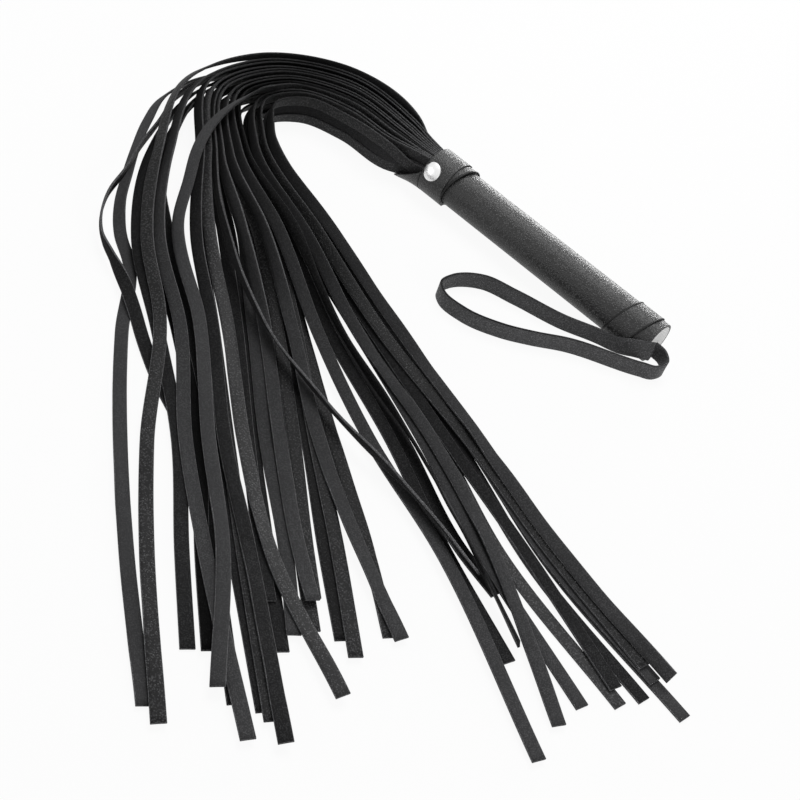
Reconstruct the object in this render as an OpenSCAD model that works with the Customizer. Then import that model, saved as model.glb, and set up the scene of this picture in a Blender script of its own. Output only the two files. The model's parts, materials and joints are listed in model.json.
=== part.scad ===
// Many-tailed riding whip: a straight leather-covered handle, a riveted collar that clamps
// a bundle of flat leather tails, and a wrist strap fixed in the handle's rear end.
// Frame: X along the handle with the rear end at +X, Z up, the origin on the ground under
// the handle's middle. The whip lies on the ground, its tails swung round in an arch and
// fanned out on the -Y side, its wrist strap lying in a loop on the same side.

/* [Handle] */
// length of the handle from the collar's front edge to the rear end
handle_len = 150; // [146:1:160]
// outside diameter of the leather cover
grip_d = 22; // [22:0.5:24]
// thickness of the leather cover
cover_t = 1.2; // [1:0.1:1.6]

/* [Collar] */
// length of collar over the tails' roots
clamp_len = 14; // [12:1:16]
// length of collar behind the tails' roots
collar_tail = 3.5; // [3:0.5:6]
// thickness of the collar's band
collar_t = 1; // [0.9:0.1:1.2]
// thickness of the band's pared end where it laps over itself
lap_t = 0.7; // [0.5:0.1:0.8]
// angle round the handle that the lapped end covers
lap_arc = 190; // [150:5:200]

/* [Rivet] */
// diameter of the rivet's domed cap
rivet_d = 10; // [8:0.5:10]
// height of the dome above its rim
rivet_dome = 1.5; // [1:0.1:1.8]
// diameter of the rivet's post
post_d = 3; // [2.5:0.1:3.5]
// diameter of the back plate inside the collar
back_d = 6; // [5:0.5:6]

/* [Rear wrap] */
// width of the binding strip near the rear end, along the handle
wrap_w = 13; // [10:0.5:14]
// thickness of the binding strip
wrap_t = 0.6; // [0.5:0.1:1]
// slope of the binding's edges round the handle
wrap_slope = 15; // [8:1:18]

/* [Wrist strap] */
// width of the wrist strap
strap_w = 9.3; // [8:0.1:9.3]
// thickness of the wrist strap
strap_t = 1.2; // [0.9:0.1:1.2]
// depth of the slot that holds the strap's end
slot_depth = 9; // [7:0.5:12]

/* [Tails] */
// width of one tail
tail_w = 6; // [5:0.1:6]
// thickness of one tail
tail_t = 1.1; // [0.8:0.1:1.1]

/* [Hidden] */
$fn = 96;
fit_gap = 0.05;
air_gap = 0.3;

grip_r = grip_d / 2;
core_r = grip_r - cover_t;
clamp_r = grip_r + 0.2;
collar_r = clamp_r + collar_t;
lap_r = collar_r + lap_t;
wrap_r = grip_r + wrap_t;
axis_z = collar_r;
x_front = -handle_len / 2;
x_root = x_front + clamp_len;
x_rear = handle_len / 2;
// how far a cut runs past the face it opens
past = 1;
// where the collar's front edge is in the tables of gates and fan points
x_given = -75;

// the band's end is lapped over the near upper side, and the rivet goes through both layers
rivet_back = 7;
rivet_turn = 148;
rivet_lean = 8;
lap_from = 42;
lap_front = 0.4;
lap_len = clamp_len + 1.2;
collar_skew = 9.5;

// the binding near the rear end runs slightly aslant, edge parallel to edge
wrap_x = x_rear - 21.5;
wrap_yaw = -9;

// the slot for the strap lies just inside the core's lower half
slot_y = 1;
slot_z = axis_z - 4.8;
slot_w = strap_w + 0.2;
slot_t = strap_t + 0.2;
rim_t = 0.8;
seat_r = lap_r - 0.8;
post_foot = clamp_r - 0.45;
back_t = 0.45;
cut_h = 6;

// the strap's way, as [x from the rear end, y, height of its lower edge, turn on edge]
strap_way = [
    [0, slot_y, slot_z - strap_w / 2, 90],
    [5.5, 1, 2.2, 90], [10.5, -3, 1, 90], [8.8, -9.5, 0, 90], [3.5, -13.5, 0, 90],
    [-30, -34, 0, 90], [-42, -45, 0, 90], [-55, -55, 0, 90], [-73, -63, 0, 90], [-87, -63, 0, 90],
    [-92, -59, 0, 90], [-92, -51, 0, 90], [-82, -36, 0, 90], [-66, -30, 0, 90], [-40, -22, 0, 90],
    [-24, -14.5, 0.3, 90]
];
// where the strap lies along the handle and climbs to its cut end: [x from the rear end, height]
strap_climb = [[-13, 2.2], [-4, 7.6], [5, 13]];

// gates that every tail passes between the collar and the fan, each from the outermost lane
// [x, y, turn on edge] to the innermost [x, y, turn], then the lowest row's height, row pitch
gates = [
    [[-104, 15, 90], [-97, -13.5, 90], 2.2, 6.2],
    [[-151, 16, 87], [-128, -15, 87], 0.5, 6.2],
    [[-186, -18, 74], [-149, -24, 84], 0.1, 6.2],
    [[-193, -58, 48], [-156, -43, 76], 0.1, 6.2]
];

// where each tail lies across the arch, 0 at its outer edge and 1 at its inner, a row a line
lanes = [
    [-0.06, 0.09, 0.72, 0.16, 0.27, 0.34, 0.4, 0.51, 0.57, 0.65, 0.86, 0.93, 1.06],
    [0, 0.11, 0.18, 0.26, 0.37, 0.43, 0.51, 0.57, 0.63, 0.79, 0.88, 1],
    [-0.02, 0.13, 0.21, 0.32, 0.43, 0.5, 0.63, 0.75, 0.87, 1]
];

// the order of the tails in the collar's mouth, where the upper row's first and last tails
// are held at the ends of the middle row: [row, place], a row a line
mouth = [
    [[1, 0], [0, 0], [0, 8], [0, 1], [0, 2], [0, 3], [0, 4], [0, 5], [0, 6], [0, 7], [0, 9],
        [0, 10], [1, 13]],
    [for (k = [1:12]) [1, k]],
    [for (k = [0:9]) [2, k]]
];
mouth_len = [11, 14, 10];

// the fan beyond the arch, from the outermost lane to the innermost, six points a tail:
// [x, y, height of its lower edge, turn on edge]; a tail that crosses the others leaves the
// arch before its last gate and has more points
fan_top = [
    [[-155, -122, 12, 40], [-116, -161, 8, 18], [-75, -188, 4.4, 8],
        [-25, -238, 3, 0], [17, -274, 3, 0], [75, -318, 1.5, 0]],
    [[-152, -117, 12, 46], [-112, -157, 8, 30], [-66, -184, 4.4, 10],
        [-17, -224, 3, 0], [29, -255, 3, 0], [100, -298, 2.2, 0]],
    [[-161, -37, 16, 74], [-161, -48, 19, 60], [-160, -62, 19.3, 42], [-157, -78, 19.2, 32],
        [-151, -94, 18.6, 28], [-142, -109, 17.6, 26], [-131, -123, 13.5, 26],
        [-117, -141, 9.6, 22], [-61, -177, 6.4, 8],
        [-11, -217, 5, 0], [35, -251, 4.5, 0], [78, -293, 3.5, 0]],
    [[-143, -105, 12, 48], [-103, -142, 8, 30], [-58, -172, 4.4, 10],
        [-7, -211, 3, 0], [41, -242, 3, 0], [110, -289, 3, 0]],
    [[-141, -102, 12, 52], [-100, -136, 8, 24], [-54, -166, 4.4, 6],
        [-3, -204, 3, 0], [46, -235, 3, 0], [110, -259, 3, 0]],
    [[-138, -100, 12, 64], [-96, -130, 9.6, 82], [-44, -154, 7.2, 108],
        [8, -164, 5.4, 114], [70, -169, 4.6, 117], [107, -176, 4.3, 117]],
    [[-137, -96, 12.2, 72], [-91, -124, 12, 66], [-45, -152, 4.8, 12],
        [7, -192, 3, 0], [52, -225, 3, 0], [73, -238, 3, 0]],
    [[-135, -92, 12.2, 70], [-86, -115, 12, 58], [-37, -142, 5.2, 12],
        [17, -178, 3, 0], [68, -205, 3, 0], [107, -222, 1.5, 0]],
    [[-134, -87, 12.2, 58], [-83, -108, 12.2, 28], [-31, -132, 4.4, 6],
        [30, -159, 3, 0], [89, -178, 3, 0], [176, -219, 1.5, 0]],
    [[-133, -83, 12.2, 72], [-79, -102, 12.2, 68], [-25, -124, 4.8, 94],
        [42, -145, 3, 116], [98, -168, 2.5, 118], [139, -187, 1.5, 118]],
    [[-134, -76, 12.2, 66], [-75, -96, 9, 34], [-21, -116, 4.4, 8],
        [48, -136, 3, 0], [103, -160, 3, 0], [172, -201, 1.5, 0]],
    [[-136, -69, 12.2, 72], [-72, -90, 8.4, 44], [-16, -106, 4.6, 7],
        [62, -123, 3, 0], [118, -139, 3, 0], [179, -152, 3, 0]],
    [[-140, -59, 12.2, 60], [-67, -82, 8, 20], [-10, -99, 5.2, 6],
        [52, -116, 4.9, 0], [122, -137, 4.3, 18], [190, -150, 4.2, 56]]
];
fan_mid = [
    [[-188, -82, 6.4, 76], [-177, -102, 6.2, 82], [-169, -119, 5.6, 84], [-158, -139, 4.6, 84],
        [-150, -156, 3.4, 84], [-141, -167, 2.6, 88], [-129, -176, 2.6, 96], [-116, -181, 2.6, 80],
        [-99, -187, 2.6, 22], [-88, -192, 2.4, 9],
        [-72, -200, 0.8, 6], [-57, -207, 0.2, 4], [-17, -222, 0, 0], [31, -252, 0, 0], [86, -291, 0, 0]],
    [[-163, -118, 6, 40], [-121, -162, 4, 20], [-70, -193, 2.2, 8],
        [-19, -226, 1.5, 0], [24, -262, 1.5, 0], [58, -289, 0, 0]],
    [[-156, -115, 6, 46], [-116, -156, 4, 28], [-66, -185, 2.2, 10],
        [-14, -219, 1.5, 0], [29, -256, 1.5, 0], [64, -284, 1.5, 0]],
    [[-145, -100, 6, 50], [-104, -138, 4, 26], [-58, -171, 2.2, 8],
        [-7, -209, 1.5, 0], [39, -243, 1.5, 0], [100, -286, 1.5, 0]],
    [[-142, -96, 6, 56], [-98, -128, 4, 28], [-52, -162, 2.2, 8],
        [-2, -202, 1.5, 0], [43, -237, 1.5, 0], [62, -251, 1.5, 0]],
    [[-140, -91, 6, 70], [-94, -121, 6, 62], [-47, -156, 2.2, 8],
        [3, -196, 1.5, 0], [49, -229, 1.5, 0], [79, -254, 1.5, 0]],
    [[-139, -87, 6, 68], [-90, -114, 6, 56], [-42, -146, 2.2, 8],
        [10, -186, 1.5, 0], [54, -222, 1.5, 0], [72, -236, 1.5, 0]],
    [[-138, -84, 6, 62], [-87, -108, 6, 36], [-37, -139, 2.2, 8],
        [15, -178, 1.5, 0], [62, -212, 1.5, 0], [101, -242, 1.5, 0]],
    [[-138, -79, 6, 72], [-83, -102, 6, 66], [-29, -126, 2.4, 12],
        [35, -150, 1.5, 0], [89, -175, 1.5, 0], [141, -194, 0, 0]],
    [[-138, -74, 6, 72], [-79, -96, 4.6, 44], [-22, -114, 2.2, 8],
        [46, -139, 1.5, 0], [100, -163, 1.5, 0], [173, -186, 0, 0]],
    [[-139, -67, 6, 68], [-76, -90, 4, 30], [-17, -108, 2.2, 8],
        [51, -129, 1.5, 0], [111, -147, 1.5, 0], [177, -169, 1.5, 0]],
    [[-141, -59, 6, 66], [-70, -82, 4, 28], [-11, -101, 2.2, 8],
        [56, -120, 1.5, 0], [121, -142, 1.5, 0], [186, -153, 1.5, 0]]
];
fan_low = [
    [[-201, -58, 0.1, 66], [-198, -80, 0.1, 52], [-188, -98, 0, 40], [-176, -115, 0, 34],
        [-160, -135, 0, 28], [-146, -151, 0, 24], [-130, -164, 0, 16], [-113, -173, 0, 10],
        [-80, -205, 0, 6], [-32, -246, 1.2, 0], [11, -279, 1.5, 0], [66, -317, 0, 0]],
    [[-160, -113, 0, 42], [-114, -148, 0, 22], [-65, -178, 0, 8],
        [-11, -214, 0, 0], [36, -245, 0, 0], [95, -285, 0, 0]],
    [[-145, -91, 0, 54], [-99, -122, 0, 30], [-52, -159, 0, 8],
        [-2, -199, 0, 0], [44, -234, 0, 0], [81, -262, 0, 0]],
    [[-143, -85, 0, 62], [-93, -114, 0, 44], [-45, -148, 0.1, 8],
        [8, -187, 0, 0], [52, -223, 0, 0], [82, -246, 0, 0]],
    [[-142, -80, 0, 66], [-90, -109, 0, 58], [-41, -141, 0.2, 8],
        [13, -180, 0, 0], [58, -215, 0, 0], [92, -240, 0, 0]],
    [[-142, -76, 0, 68], [-87, -104, 0, 58], [-35, -136, 0.2, 8],
        [20, -171, 0, 0], [69, -201, 0, 0], [103, -224, 0, 0]],
    [[-142, -72, 0, 68], [-84, -98, 0, 36], [-28, -122, 0, 8],
        [37, -144, 0, 0], [93, -168, 0, 0], [117, -173, 0, 0]],
    [[-142, -66, 0, 68], [-79, -90, 0, 30], [-20, -110, 0, 8],
        [47, -131, 0, 0], [105, -156, 0, 0], [183, -173, 0, 0]],
    [[-142, -59, 0, 66], [-75, -83, 0, 28], [-16, -103, 0, 8],
        [52, -124, 0, 0], [121, -150, 0, 0], [188, -163, 0, 0]],
    [[-142, -52, 0, 64], [-71, -76, 0, 28], [-12, -96, 0, 8],
        [56, -118, 0, 0], [122, -142, 0, 0], [204, -156, 0, 0]]
];

fans = [fan_top, fan_mid, fan_low];
tail_pitch = tail_t + fit_gap;
row_pitch = tail_w + fit_gap;
tail_count = len(fan_top) + len(fan_mid) + len(fan_low);
arch_step = 9;
fan_step = 17;
fan_points = 6;

function tail_name(i) = str("tail_", i < 10 ? "0" : "", i);

// ---- strips swept along their own points ----

// half the height that a strip takes up when it is turned by roll
function half_rise(w, t, roll) = (w * sin(roll) + t * abs(cos(roll))) / 2;

// a point given by its lower edge, as a point on the strip's centreline
function centred(p, w, t) = [p[0], p[1], p[2] + half_rise(w, t, p[3]), p[3]];

function xyz(p) = [p[0], p[1], p[2]];
function gap(P, i) = norm(xyz(P[i + 1]) - xyz(P[i]));
function slope(P, i) = (P[i + 1] - P[i]) / gap(P, i);
function heading(P, i) =
    i == 0 ? slope(P, 0)
    : i == len(P) - 1 ? slope(P, i - 1)
    : (slope(P, i - 1) * gap(P, i) + slope(P, i) * gap(P, i - 1)) / (gap(P, i - 1) + gap(P, i));

// a smooth curve through points i and i + 1, at u from 0 to 1; the turn changes evenly
function between(P, i, u) =
    let (
        h = gap(P, i),
        q = P[i] * (2 * pow(u, 3) - 3 * pow(u, 2) + 1)
            + heading(P, i) * h * (pow(u, 3) - 2 * pow(u, 2) + u)
            + P[i + 1] * (3 * pow(u, 2) - 2 * pow(u, 3))
            + heading(P, i + 1) * h * (pow(u, 3) - pow(u, 2))
    )
    [q[0], q[1], q[2], P[i][3] + (P[i + 1][3] - P[i][3]) * u];

// the curve's samples, closer together up to point n_close
function samples(P, n_close) = concat(
    [
        for (i = [0:len(P) - 2])
            let (k = max(1, ceil(gap(P, i) / (i < n_close ? arch_step : fan_step))))
            for (j = [0:k - 1]) between(P, i, j / k)
    ],
    [P[len(P) - 1]]
);

// the four corners of the strip's section at sample i
function section(S, i, w, t) =
    let (
        a = S[max(i - 1, 0)],
        b = S[min(i + 1, len(S) - 1)],
        along = (xyz(b) - xyz(a)) / norm(xyz(b) - xyz(a)),
        side = cross([0, 0, 1], along) / norm(cross([0, 0, 1], along)),
        up = cross(along, side),
        roll = S[i][3],
        wide = (side * cos(roll) + up * sin(roll)) * w / 2,
        thick = (up * cos(roll) - side * sin(roll)) * t / 2,
        c = xyz(S[i])
    )
    [c - wide - thick, c + wide - thick, c + wide + thick, c - wide + thick];

module strip(P, n_close, w, t) {
    S = samples(P, n_close);
    n = len(S);
    corners = [for (i = [0:n - 1]) for (c = section(S, i, w, t)) c];
    sides = [
        for (i = [0:n - 2]) for (k = [0:3])
            let (a = 4 * i + k, b = 4 * i + (k + 1) % 4)
            for (f = [[a, b, b + 4], [a, b + 4, a + 4]]) f
    ];
    last = 4 * (n - 1);
    ends = [[0, 3, 2, 1], [last, last + 1, last + 2, last + 3]];
    polyhedron(points = corners, faces = concat(sides, ends), convexity = 12);
}

// ---- the tails ----

// which row (0 at the top) and which place in the row, outermost first, tail i has
function row_of(i) =
    i < len(fan_top) ? 0 : i < len(fan_top) + len(fan_mid) ? 1 : 2;
function place_of(i) =
    row_of(i) == 0 ? i : row_of(i) == 1 ? i - len(fan_top) : i - len(fan_top) - len(fan_mid);

function gate_point(g, lane, level) =
    let (p = g[0] + (g[1] - g[0]) * lane)
    [p[0] + x_front - x_given, p[1], g[2] + g[3] * level, p[2]];

function tail_way(i) =
    let (
        row = row_of(i),
        place = place_of(i),
        held = mouth[row][place],
        y = ((mouth_len[held[0]] - 1) / 2 - held[1]) * tail_pitch,
        z = axis_z + (1 - held[0]) * row_pitch - tail_w / 2,
        fan = fans[row][place],
        last_gate = len(fan) > fan_points ? len(gates) - 2 : len(gates) - 1
    )
    concat(
        [
            [x_root, y, z, 90],
            [x_front + 7, y, z, 90],
            [x_front, y, z, 90],
            [x_front - 9, y * 1.3, z - 0.3, 90]
        ],
        [for (g = [0:last_gate]) gate_point(gates[g], lanes[row][place], 2 - row)],
        [for (p = fan) [p[0] + x_front - x_given, p[1], p[2], p[3]]]
    );

module tail(i) {
    P = [for (p = tail_way(i)) centred(p, tail_w, tail_t)];
    color([0.09, 0.09, 0.10]) strip(P, len(P) - fan_points, tail_w, tail_t);
}

// ---- the wrist strap ----

module wrist_strap() {
    y_side = -(wrap_r + air_gap + strap_t / 2);
    free = [for (p = strap_way) [x_rear + p[0], p[1], p[2], p[3]]];
    held = [[x_rear - slot_depth + 0.5, slot_y, slot_z - strap_w / 2, 90]];
    climb = [for (p = strap_climb) [x_rear + p[0], y_side, p[1], 90]];
    P = [for (p = concat(held, free, climb)) centred(p, strap_w, strap_t)];
    color([0.10, 0.10, 0.11]) strip(P, 20, strap_w, strap_t);
}

// ---- the handle ----

// puts a shape that stands on Z = 0 along the handle, starting at x
module along_handle(x) {
    translate([x, 0, axis_z]) rotate([0, 90, 0]) children();
}

module core_rod() {
    color([0.78, 0.77, 0.74])
        difference() {
            along_handle(x_root) cylinder(r = core_r, h = x_rear - x_root);
            translate([x_rear - slot_depth, slot_y - slot_t / 2, slot_z - slot_w / 2])
                cube([slot_depth + past, slot_t, slot_w]);
        }
}

module handle_cover() {
    color([0.12, 0.12, 0.13])
        along_handle(x_root)
            difference() {
                cylinder(r = grip_r, h = x_rear - x_root);
                translate([0, 0, -past]) cylinder(r = core_r, h = x_rear - x_root + 2 * past);
            }
}

module front_collar() {
    ring_len = clamp_len + collar_tail;
    color([0.11, 0.11, 0.12])
        difference() {
            union() {
                // the first turn, whose rear edge runs aslant round the handle
                difference() {
                    along_handle(x_front) cylinder(r = collar_r, h = 2 * ring_len);
                    translate([x_front + ring_len, 0, axis_z])
                        rotate([0, collar_skew, -collar_skew])
                            translate([0, -3 * lap_r, -3 * lap_r]) cube(6 * lap_r);
                }
                // the band's pared end lapped over the first turn
                along_handle(x_front + lap_front)
                    rotate([0, 0, lap_from + 90])
                        rotate_extrude(angle = lap_arc)
                            translate([collar_r - lap_t, 0]) square([2 * lap_t, lap_len]);
            }
            // over the tails' roots the band is a little wider than over the cover
            along_handle(x_front - past) cylinder(r = clamp_r, h = clamp_len + past);
            along_handle(x_front - past) cylinder(r = grip_r, h = 3 * ring_len);
            // the rivet's hole, and the flat seat that its cap presses into the leather
            rivet_place() translate([0, 0, clamp_r - 2]) cylinder(d = post_d + fit_gap, h = cut_h);
            rivet_place() translate([0, 0, seat_r]) cylinder(d = rivet_d + 2 * fit_gap, h = cut_h);
        }
}

// the rivet's line, outward from the handle's axis
module rivet_place() {
    translate([x_front + rivet_back, 0, axis_z])
        rotate([rivet_turn - 90, 0, 0])
            rotate([0, -rivet_lean, 0])
                children();
}

module rivet_cap() {
    ball_r = (pow(rivet_d / 2, 2) + pow(rivet_dome, 2)) / (2 * rivet_dome);
    color([0.86, 0.86, 0.84])
        rivet_place()
            intersection() {
                translate([0, 0, seat_r]) cylinder(d = rivet_d, h = rim_t + rivet_dome + 1);
                translate([0, 0, seat_r + rim_t + rivet_dome - ball_r]) sphere(r = ball_r);
            }
}

module rivet_post() {
    color([0.80, 0.80, 0.78])
        rivet_place() translate([0, 0, post_foot]) cylinder(d = post_d, h = seat_r - post_foot);
}

module rivet_back() {
    color([0.80, 0.80, 0.78])
        rivet_place() translate([0, 0, post_foot - back_t]) cylinder(d = back_d, h = back_t);
}

module rear_wrap() {
    color([0.11, 0.11, 0.12])
        intersection() {
            along_handle(x_front)
                difference() {
                    cylinder(r = wrap_r, h = handle_len);
                    translate([0, 0, -past]) cylinder(r = grip_r, h = handle_len + 2 * past);
                }
            translate([wrap_x, 0, axis_z])
                rotate([0, wrap_slope, wrap_yaw])
                    translate([0, -3 * wrap_r, -3 * wrap_r])
                        cube([wrap_w * cos(wrap_slope), 6 * wrap_r, 6 * wrap_r]);
        }
}

// ---- the whip ----

core_rod();
handle_cover();
front_collar();
rivet_cap();
rivet_post();
rivet_back();
rear_wrap();
wrist_strap();
for (i = [0:tail_count - 1]) {
    tail(i);
}
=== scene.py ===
"""A many-tailed riding whip, laid on a pale ground with its tails fanned out.

The handle, its collar, its rivet and the binding near its rear end come from the frame.
The tails and the wrist strap are leather strips that follow the frame's own routes.
The whip's sizes and routes are in millimetres and become metres with MM. The camera, the
lamps and the grain of the finishes are in metres.
"""
import json
import math

import bmesh
import bpy
import numpy as np
from mathutils import Matrix, Vector

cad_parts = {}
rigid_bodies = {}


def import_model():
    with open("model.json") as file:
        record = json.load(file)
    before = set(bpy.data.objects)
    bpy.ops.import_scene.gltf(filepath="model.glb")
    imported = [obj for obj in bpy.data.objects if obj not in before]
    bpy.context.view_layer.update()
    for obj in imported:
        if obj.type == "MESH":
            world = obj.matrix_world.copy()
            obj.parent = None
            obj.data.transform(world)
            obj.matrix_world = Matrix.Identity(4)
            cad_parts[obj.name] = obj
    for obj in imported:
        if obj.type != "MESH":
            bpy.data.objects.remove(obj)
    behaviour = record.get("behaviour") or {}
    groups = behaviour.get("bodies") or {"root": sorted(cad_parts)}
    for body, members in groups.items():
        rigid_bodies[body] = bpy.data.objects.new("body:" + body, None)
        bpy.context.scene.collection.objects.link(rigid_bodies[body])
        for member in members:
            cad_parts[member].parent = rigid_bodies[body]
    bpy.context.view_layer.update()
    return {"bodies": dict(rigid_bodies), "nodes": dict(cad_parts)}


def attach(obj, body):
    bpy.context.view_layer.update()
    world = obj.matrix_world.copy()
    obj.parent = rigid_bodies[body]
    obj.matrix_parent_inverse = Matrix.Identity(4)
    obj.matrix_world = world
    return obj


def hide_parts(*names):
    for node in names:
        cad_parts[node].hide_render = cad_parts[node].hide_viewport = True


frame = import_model()

MM = 0.001
BODY = next(iter(frame["bodies"]))

# ---- the camera ----

CAMERA_PLACE = Vector((0.2244, -0.52314, 0.44735))
CAMERA_RIGHT = Vector((0.71430, 0.65295, 0.25187))
CAMERA_UP = Vector((-0.62050, 0.42442, 0.65944))
CAMERA_BACK = Vector((0.32368, -0.62732, 0.70831))

bpy.ops.object.select_all(action="DESELECT")
bpy.ops.object.camera_add(location=CAMERA_PLACE)
camera = bpy.context.object
camera.name = "camera"
axes = Matrix((CAMERA_RIGHT, CAMERA_UP, CAMERA_BACK)).transposed()
camera.rotation_euler = axes.to_euler()
camera.data.lens = 63
camera.data.sensor_width = 36
camera.data.clip_start = 0.01
camera.data.clip_end = 20
bpy.context.scene.camera = camera

# ---- the sizes, as in the frame ----

HANDLE_LEN = 150
X_FRONT = -HANDLE_LEN / 2
X_REAR = HANDLE_LEN / 2
# how much of the tails the collar holds
CLAMP_LEN = 14
COLLAR_R = 12.2
WRAP_R = 11.6
# the handle lies on its collar
AXIS_Z = COLLAR_R
TAIL_W = 6
TAIL_T = 1.1
FIT_GAP = 0.05
AIR_GAP = 0.3
TAIL_PITCH = TAIL_T + FIT_GAP
ROW_PITCH = TAIL_W + FIT_GAP
STRAP_W = 9.3
STRAP_T = 1.2
# the strap's middle where it lies along the near side of the handle
SIDE_Y = -(WRAP_R + AIR_GAP + STRAP_T / 2)
SLOT_DEPTH = 9
SLOT_Y = 1
SLOT_Z = AXIS_Z - 4.8

# ---- the routes: x, y, height of the lower edge, turn on edge in degrees ----

# gates that the tails pass: the outermost lane's x, y, turn, the innermost lane's,
# then the lowest row's height and the row pitch
GATES = [
    ((-104, 15, 90), (-97, -13.5, 90), 2.2, 6.2),
    ((-151, 16, 87), (-128, -15, 87), 0.5, 6.2),
    ((-186, -18, 74), (-149, -24, 84), 0.1, 6.2),
    ((-193, -58, 48), (-156, -43, 76), 0.1, 6.2),
]

# where each tail lies across the arch, 0 at its outer edge and 1 at its inner, a row a line
LANES = (
    (-0.06, 0.09, 0.72, 0.16, 0.27, 0.34, 0.4, 0.51, 0.57, 0.65, 0.86, 0.93, 1.06),
    (0, 0.11, 0.18, 0.26, 0.37, 0.43, 0.51, 0.57, 0.63, 0.79, 0.88, 1),
    (-0.02, 0.13, 0.21, 0.32, 0.43, 0.5, 0.63, 0.75, 0.87, 1),
)

# the order of the tails in the collar's mouth, whose three rows hold 11, 14 and 10:
# the upper row's first and last tails are held at the ends of the middle row
MOUTH = (
    ((1, 0), (0, 0), (0, 8), (0, 1), (0, 2), (0, 3), (0, 4), (0, 5), (0, 6), (0, 7), (0, 9),
     (0, 10), (1, 13)),
    tuple((1, place) for place in range(1, 13)),
    tuple((2, place) for place in range(10)),
)
MOUTH_LEN = (11, 14, 10)
# how many points the fan of a tail has, unless it crosses the others
FAN_POINTS = 6

# the fan beyond the arch, from the outermost lane to the innermost: six points a tail, and
# more where a tail crosses the others
FAN_TOP = [
    [[-155, -122, 12, 40], [-116, -161, 8, 18], [-75, -188, 4.4, 8],
        [-25, -238, 3, 0], [17, -274, 3, 0], [75, -318, 1.5, 0]],
    [[-152, -117, 12, 46], [-112, -157, 8, 30], [-66, -184, 4.4, 10],
        [-17, -224, 3, 0], [29, -255, 3, 0], [100, -298, 2.2, 0]],
    [[-161, -37, 16, 74], [-161, -48, 19, 60], [-160, -62, 19.3, 42], [-157, -78, 19.2, 32],
        [-151, -94, 18.6, 28], [-142, -109, 17.6, 26], [-131, -123, 13.5, 26],
        [-117, -141, 9.6, 22], [-61, -177, 6.4, 8],
        [-11, -217, 5, 0], [35, -251, 4.5, 0], [78, -293, 3.5, 0]],
    [[-143, -105, 12, 48], [-103, -142, 8, 30], [-58, -172, 4.4, 10],
        [-7, -211, 3, 0], [41, -242, 3, 0], [110, -289, 3, 0]],
    [[-141, -102, 12, 52], [-100, -136, 8, 24], [-54, -166, 4.4, 6],
        [-3, -204, 3, 0], [46, -235, 3, 0], [110, -259, 3, 0]],
    [[-138, -100, 12, 64], [-96, -130, 9.6, 82], [-44, -154, 7.2, 108],
        [8, -164, 5.4, 114], [70, -169, 4.6, 117], [107, -176, 4.3, 117]],
    [[-137, -96, 12.2, 72], [-91, -124, 12, 66], [-45, -152, 4.8, 12],
        [7, -192, 3, 0], [52, -225, 3, 0], [73, -238, 3, 0]],
    [[-135, -92, 12.2, 70], [-86, -115, 12, 58], [-37, -142, 5.2, 12],
        [17, -178, 3, 0], [68, -205, 3, 0], [107, -222, 1.5, 0]],
    [[-134, -87, 12.2, 58], [-83, -108, 12.2, 28], [-31, -132, 4.4, 6],
        [30, -159, 3, 0], [89, -178, 3, 0], [176, -219, 1.5, 0]],
    [[-133, -83, 12.2, 72], [-79, -102, 12.2, 68], [-25, -124, 4.8, 94],
        [42, -145, 3, 116], [98, -168, 2.5, 118], [139, -187, 1.5, 118]],
    [[-134, -76, 12.2, 66], [-75, -96, 9, 34], [-21, -116, 4.4, 8],
        [48, -136, 3, 0], [103, -160, 3, 0], [172, -201, 1.5, 0]],
    [[-136, -69, 12.2, 72], [-72, -90, 8.4, 44], [-16, -106, 4.6, 7],
        [62, -123, 3, 0], [118, -139, 3, 0], [179, -152, 3, 0]],
    [[-140, -59, 12.2, 60], [-67, -82, 8, 20], [-10, -99, 5.2, 6],
        [52, -116, 4.9, 0], [122, -137, 4.3, 18], [190, -150, 4.2, 56]]
]
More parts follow.
